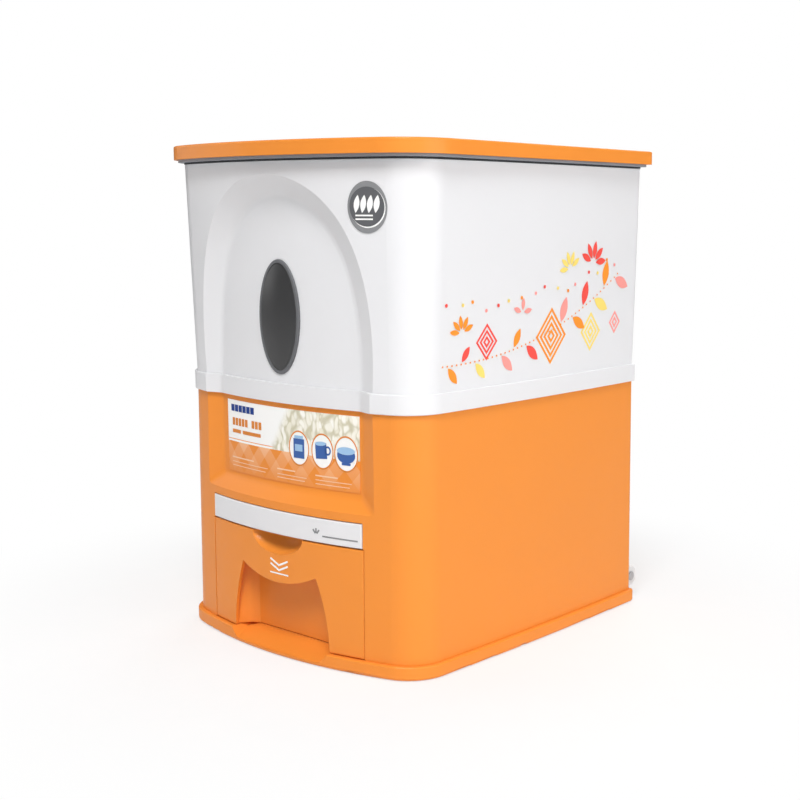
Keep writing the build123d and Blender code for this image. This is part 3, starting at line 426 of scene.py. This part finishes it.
def lay(name, motifs, plane, carrier, towards, material, level=0):
    """Draw motifs flat, press them onto a carrier along a direction and give them an ink's thickness."""
    bm = bmesh.new()
    for draw, *given in motifs:
        draw(bm, *given)
    bmesh.ops.transform(bm, matrix=plane, verts=bm.verts)
    target = frame["nodes"][carrier].data
    surface = BVHTree.FromPolygons([vert.co for vert in target.vertices],
                                   [face.vertices for face in target.polygons])
    towards = Vector(towards).normalized()
    lift = INK_LIFT + level * LEVEL_STEP
    for vert in bm.verts:
        hit = surface.ray_cast(vert.co - towards * RAY_START, towards)[0]
        vert.co = hit - towards * lift
    bmesh.ops.recalc_face_normals(bm, faces=bm.faces)
    for face in bm.faces:
        if face.normal.dot(towards) > 0:
            face.normal_flip()
    mesh = bpy.data.meshes.new(name)
    bm.to_mesh(mesh)
    bm.free()
    piece = bpy.data.objects.new(name, mesh)
    bpy.context.scene.collection.objects.link(piece)
    film = piece.modifiers.new("film", "SOLIDIFY")
    film.thickness = INK_THICKNESS
    film.offset = 1.0
    piece.data.materials.append(material)
    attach(piece, frame["nodes"][carrier]["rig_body"])


# Print on the right-hand side: a leafy branch that rises towards the rear, over nested diamonds,
# with fans of leaves and scattered dots. Each group lies a level above the one before it.
SIDE_GROUPS = ("diamonds", "leaves", "fans", "dots")
BRANCH_START, BRANCH_END = -112.0, 126.0
BRANCH_FOOT, BRANCH_RISE, BRANCH_CURVE = 247.0, 66.0, 2.2
LEAF_COUNT = 15
LEAF_TURN = radians(52.0)
LEAF_GAP = 2.0                        # between the branch and a leaf's foot
LEAF_SLENDERNESS = 4.6                # a leaf's length over its half width
BRANCH_DOTS = 3 * LEAF_COUNT
BRANCH_DOT_RADIUS = 0.8
LOOSE_DOTS = 16
LOOSE_DOT_RADIUS = 1.5
DIAMOND_TALL = 1.15                   # height of a diamond over its width
DIAMOND_INK = 0.55                    # inked share of the step from one diamond to the next
side_inks = {
    "orange": printed("ink_orange", PRINT_ORANGE),
    "yellow": printed("ink_yellow", PRINT_YELLOW),
    "red": printed("ink_red", PRINT_RED),
    "pink": printed("ink_pink", PRINT_PINK),
}
side_print = {group: {ink: [] for ink in side_inks} for group in SIDE_GROUPS}

# Ink, place, half width and number of rings
diamonds = (
    ("orange", 26.0, 262.0, 21.0, 4),
    ("red", -58.0, 263.0, 13.0, 3),
    ("yellow", 84.0, 262.0, 15.0, 3),
    ("pink", 122.0, 268.0, 9.0, 2),
)
# Ink, place, turn in degrees, number of leaves, leaf length and leaf width
fans = (
    ("red", 84.0, 322.0, 80.0, 5, 15.0, 6.0),
    ("yellow", 50.0, 318.0, 110.0, 5, 12.0, 4.6),
    ("orange", -88.0, 272.0, 100.0, 5, 11.0, 4.4),
    ("pink", -14.0, 284.0, 85.0, 3, 10.0, 4.4),
)


def branch(share):
    """Point of the branch at a share of its length."""
    return (BRANCH_START + (BRANCH_END - BRANCH_START) * share,
            BRANCH_FOOT + BRANCH_RISE * share ** BRANCH_CURVE)


for index in range(LEAF_COUNT):
    share = (index + 0.5) / LEAF_COUNT
    here, ahead = branch(share), branch(share + 0.01)
    lie = atan2(ahead[1] - here[1], ahead[0] - here[0])
    side = 1 if index % 2 else -1
    length = 15.0 + 9.0 * share + random.uniform(-1.5, 1.5)
    turn = lie + side * LEAF_TURN
    reach = 0.5 * length + LEAF_GAP
    across, up = here[0] + reach * cos(turn), here[1] + reach * sin(turn)
    crowded = any(abs(across - middle) + abs(up - height) < half + length / 2
                  for _, middle, height, half, _ in diamonds)
    ink = ("orange", "red", "yellow", "orange", "pink")[index % 5]
    if not crowded:
        place = spot(across, up, turn, length / 2, length / LEAF_SLENDERNESS)
        side_print["leaves"][ink].append((leaf, place))
for index in range(BRANCH_DOTS):
    place = spot(*branch((index + 0.5) / BRANCH_DOTS), 0.0, BRANCH_DOT_RADIUS, BRANCH_DOT_RADIUS)
    side_print["dots"]["orange"].append((disc, place, 12))
for ink, across, up, half, rings in diamonds:
    for count in range(rings):
        size = half * (1 - count / rings)
        inner = 1 - DIAMOND_INK * half / rings / size
        place = spot(across, up, 0.0, size, size * DIAMOND_TALL)
        side_print["diamonds"][ink].append((ring, place, inner, 4))
for ink, across, up, turn, count, length, width in fans:
    side_print["fans"][ink] += fan(across, up, radians(turn), count, length, width)
for index in range(LOOSE_DOTS):
    ink = ("red", "yellow", "orange", "pink")[index % 4]
    across = -105.0 + 15.0 * index + random.uniform(-3, 3)
    up = 290.0 + 34.0 * (index / (LOOSE_DOTS - 1)) ** 2 + random.uniform(-6, 6)
    place = spot(across, up, 0.0, LOOSE_DOT_RADIUS, LOOSE_DOT_RADIUS)
    side_print["dots"][ink].append((disc, place, 14))
for level, group in enumerate(SIDE_GROUPS):
    for ink, motifs in side_print[group].items():
        lay(f"side_{group}_{ink}", motifs, SIDE, "upper_bin", INTO_SIDE, side_inks[ink], level=level)

# Marks on the label: three ringed pictures of a jar, a cup and a bowl, and plain blocks and bars
PICTURE_Z = 175.4
PICTURE_X = (20.4, 45.6, 69.2)
PICTURE_RADIUS = (11.4, 14.6)
RIM_SHARE = 0.915                     # inner edge of a picture's rim, as a share of its outer edge
CUP_LEAN = radians(4.0)
NAVY_ROW_Z, ORANGE_ROW_Z, SMALL_ROW_Z = 199.8, 188.2, 180.0
picture_white = printed("label_white", PRINT_WHITE)
picture_rim = printed("label_rim", shade(ORANGE, 0.85))
picture_blue = printed("label_blue", PRINT_BLUE)
picture_sky = printed("label_sky", PRINT_SKY)
bars_peach = printed("label_peach", PRINT_PEACH)
bars_navy = printed("label_navy", PRINT_NAVY)


def lay_label(name, motifs, material, level=0):
    """Print motifs on the label."""
    lay(name, motifs, FRONT, "label_sticker", INTO_FRONT, material, level)


def paragraph(left, right, heading, *rows):
    """Thick short bar over thin bars, each thin one a little shorter than the one above."""
    width = right - left
    return [line(left, right - 0.4 * width, heading, 0.55)] + [
        line(left, right - 0.05 * row * width, height, 0.3) for row, height in enumerate(rows, 1)]


ovals = [spot(across, PICTURE_Z, 0.0, *PICTURE_RADIUS) for across in PICTURE_X]
jar, cup, bowl = PICTURE_X
lay_label("label_discs", [(disc, oval) for oval in ovals], picture_white)
lay_label("label_rims", [(ring, oval, RIM_SHARE) for oval in ovals], picture_rim, level=1)
lay_label("label_pictures", [
    (bar, spot(jar, PICTURE_Z - 0.2, 0.0, 6.0, 8.0)),
    (bar, spot(cup - 1.2, PICTURE_Z + 0.4, CUP_LEAN, 5.8, 6.4)),
    (ring, spot(cup + 5.6, PICTURE_Z + 1.0, 0.0, 3.2, 3.8), 0.6, 20),
    (disc, spot(bowl, PICTURE_Z - 1.0, 0.0, 8.6, 6.6), 28),
    (bar, spot(bowl, PICTURE_Z - 8.1, 0.0, 4.2, 0.9)),
], picture_blue, level=1)
lay_label("label_highlights", [
    (bar, spot(jar, PICTURE_Z + 9.2, 0.0, 4.8, 1.2)),
    (bar, spot(jar, PICTURE_Z + 0.4, 0.0, 4.2, 2.8)),
    (disc, spot(cup - 1.6, PICTURE_Z + 6.2, CUP_LEAN, 5.8, 1.7), 20),
    (disc, spot(bowl, PICTURE_Z + 2.6, 0.0, 8.6, 3.1), 28),
], picture_sky, level=2)
lay_label("label_bars_peach",
          paragraph(-70.0, -16.0, 157.2, 153.4, 150.2)
          + paragraph(-6.0, 30.0, 155.6, 151.4, 148.6)
          + paragraph(38.0, 76.0, 155.2, 151.6, 148.4), bars_peach)
lay_label("label_bar_blue", blocks(first=-68.0, pitch=5.9, height=NAVY_ROW_Z, half_width=2.5,
                                   half_height=2.9, places=range(6)), bars_navy)
lay_label("label_bars_orange",
          blocks(first=-67.0, pitch=4.9, height=ORANGE_ROW_Z, half_width=1.9, half_height=3.2,
                 places=(0, 1, 2, 3, 4, 6, 7, 8))
          + [line(-69.0, -56.0, SMALL_ROW_Z, 1.5), line(-53.0, -27.0, SMALL_ROW_Z, 1.5)], picture_rim)

# Badge on the corner pillar: a dark disc with a pale crescent, four rice grains and two plain bars.
# It faces away from the axis of the lid's front arc.
LID_FRONT_RADIUS = 416.0 * MM
BADGE_GRAINS = 4
BADGE_GRAIN_PITCH = 5.8
BADGE_GRAIN_TURN = radians(80.0)
badge_low, badge_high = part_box("badge_sticker")
badge_middle = (badge_low + badge_high) / 2
arc_axis_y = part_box("lid_cover")[0].y + LID_FRONT_RADIUS
badge_facing = Vector((badge_middle.x, badge_middle.y - arc_axis_y, 0)).normalized()
BADGE = (Matrix.Translation(badge_middle)
         @ Matrix.Rotation(atan2(badge_facing.x, -badge_facing.y), 4, "Z") @ FRONT)


def lay_badge(name, motifs, material, level=0):
    """Print motifs on the badge."""
    lay(name, motifs, BADGE, "badge_sticker", -badge_facing, material, level)


lay_badge("badge_crescent", [(disc, spot(0.6, -0.3, 0.0, 15.3, 15.3))], picture_white)
lay_badge("badge_disc", [(disc, spot(0.0, 0.4, 0.0, 15.2, 14.9))],
          printed("badge_grey", PRINT_GREY, 0.34), level=1)
lay_badge("badge_grains",
          [(leaf, spot(-8.7 + BADGE_GRAIN_PITCH * step, 2.4, BADGE_GRAIN_TURN, 6.8, 2.5))
           for step in range(BADGE_GRAINS)]
          + [line(-10.0, 5.2, height, 0.6) for height in (-6.2, -9.0)], picture_white, level=2)

# Mark above the hand recess: two chevrons over a line
MARK_X, MARK_Z = 3.6, 69.6
CHEVRON_LIFTS = (5.2, 9.4)            # of the chevrons' arms above the line
CHEVRON_TURN = radians(24.0)
CHEVRON_ARM = 5.2                     # from the mark's middle to the middle of an arm
chevrons = []
for lift in CHEVRON_LIFTS:
    for side in (-1, 1):
        chevrons.append((bar, spot(MARK_X + side * CHEVRON_ARM, MARK_Z + lift, side * CHEVRON_TURN,
                                   5.7, 0.8), 4))
lay("pull_mark", chevrons + [(bar, spot(MARK_X, MARK_Z, 0.0, 11.0, 0.6))],
    FRONT, "drawer_front", INTO_FRONT, picture_white)

# Plain grey line and three short strokes at the right-hand end of the gate strip
STROKE_X, STROKE_Z, STROKE_REACH = 46.6, 109.4, 3.0
strokes = []
for degrees in (50.0, 90.0, 130.0):
    turn = radians(degrees)
    strokes.append((bar, spot(STROKE_X + STROKE_REACH * cos(turn), STROKE_Z + STROKE_REACH * sin(turn),
                              turn, 2.0, 0.7), 2))
lay("strip_line", [line(53.0, 87.0, 108.6, 0.6)] + strokes,
    FRONT, "gate_strip", INTO_FRONT, printed("ink_silver", PRINT_SILVER))

# Floor
bm = bmesh.new()
bmesh.ops.create_grid(bm, x_segments=4, y_segments=4, size=FLOOR_HALF)
floor_mesh = bpy.data.meshes.new("floor")
bm.to_mesh(floor_mesh)
bm.free()
floor = bpy.data.objects.new("floor", floor_mesh)
floor.data.materials.append(ground("pale_floor"))
bpy.context.scene.collection.objects.link(floor)


# Light: soft boxes round the bin, in an even white room
BIN_MIDDLE = Vector((0.0, 0.0, 0.2))


def soft_box(name, place, width, height, power):
    """Rectangular lamp at a place, facing the middle of the bin."""
    lamp = bpy.data.lights.new(name, "AREA")
    lamp.shape = "RECTANGLE"
    lamp.size = width
    lamp.size_y = height
    lamp.energy = power
    box = bpy.data.objects.new(name, lamp)
    box.location = place
    box.rotation_euler = (BIN_MIDDLE - Vector(place)).to_track_quat("-Z", "Y").to_euler()
    bpy.context.scene.collection.objects.link(box)


soft_box("key_box", (1.0, -1.45, 2.6), width=1.1, height=1.1, power=70.0)
soft_box("corner_box", (1.7, -1.5, 1.3), width=1.4, height=1.4, power=8.0)
soft_box("side_box", (2.1, 0.1, 0.9), width=1.6, height=1.4, power=17.0)
soft_box("left_box", (-2.0, -0.8, 1.0), width=1.4, height=1.4, power=8.0)
soft_box("rear_box", (-0.9, 2.3, 1.1), width=1.6, height=1.6, power=26.0)

world = bpy.data.worlds.new("room")
bpy.context.scene.world = world
world.use_nodes = True
room = world.node_tree
seen = node(room, "ShaderNodeLightPath").outputs["Is Camera Ray"]
backdrop = room.nodes["Background"]
backdrop.inputs["Color"].default_value = (1.0, 1.0, 1.0, 1.0)
room.links.new(spread(room, seen, 0.0, 1.0, ROOM_LIGHT, 1.0), backdrop.inputs["Strength"])

# Camera at the photograph's place. Its lens and shift are worked out from a focal length and an
# image centre in pixels of a square frame.
FRAME_PX = 800.0
FOCAL_PX = 1322.896
CENTRE_PX = (500.0, 405.0)
CAMERA_PLACE = (0.815620, -0.864472, 0.365898)
CAMERA_YAW = radians(39.327)
CAMERA_PITCH = radians(8.317)
CAMERA_ROLL = radians(0.241)
SENSOR = 36.0

eye = bpy.data.cameras.new("camera")
eye.sensor_width = SENSOR
eye.lens = FOCAL_PX / FRAME_PX * SENSOR
eye.shift_x = (FRAME_PX / 2 - CENTRE_PX[0]) / FRAME_PX
eye.shift_y = (CENTRE_PX[1] - FRAME_PX / 2) / FRAME_PX
camera = bpy.data.objects.new("camera", eye)
camera.matrix_world = (Matrix.Translation(CAMERA_PLACE) @ Matrix.Rotation(CAMERA_YAW, 4, "Z")
                       @ Matrix.Rotation(pi / 2 - CAMERA_PITCH, 4, "X")
                       @ Matrix.Rotation(CAMERA_ROLL, 4, "Z"))
bpy.context.scene.collection.objects.link(camera)
bpy.context.scene.camera = camera
bpy.context.scene.view_settings.view_transform = "Standard"
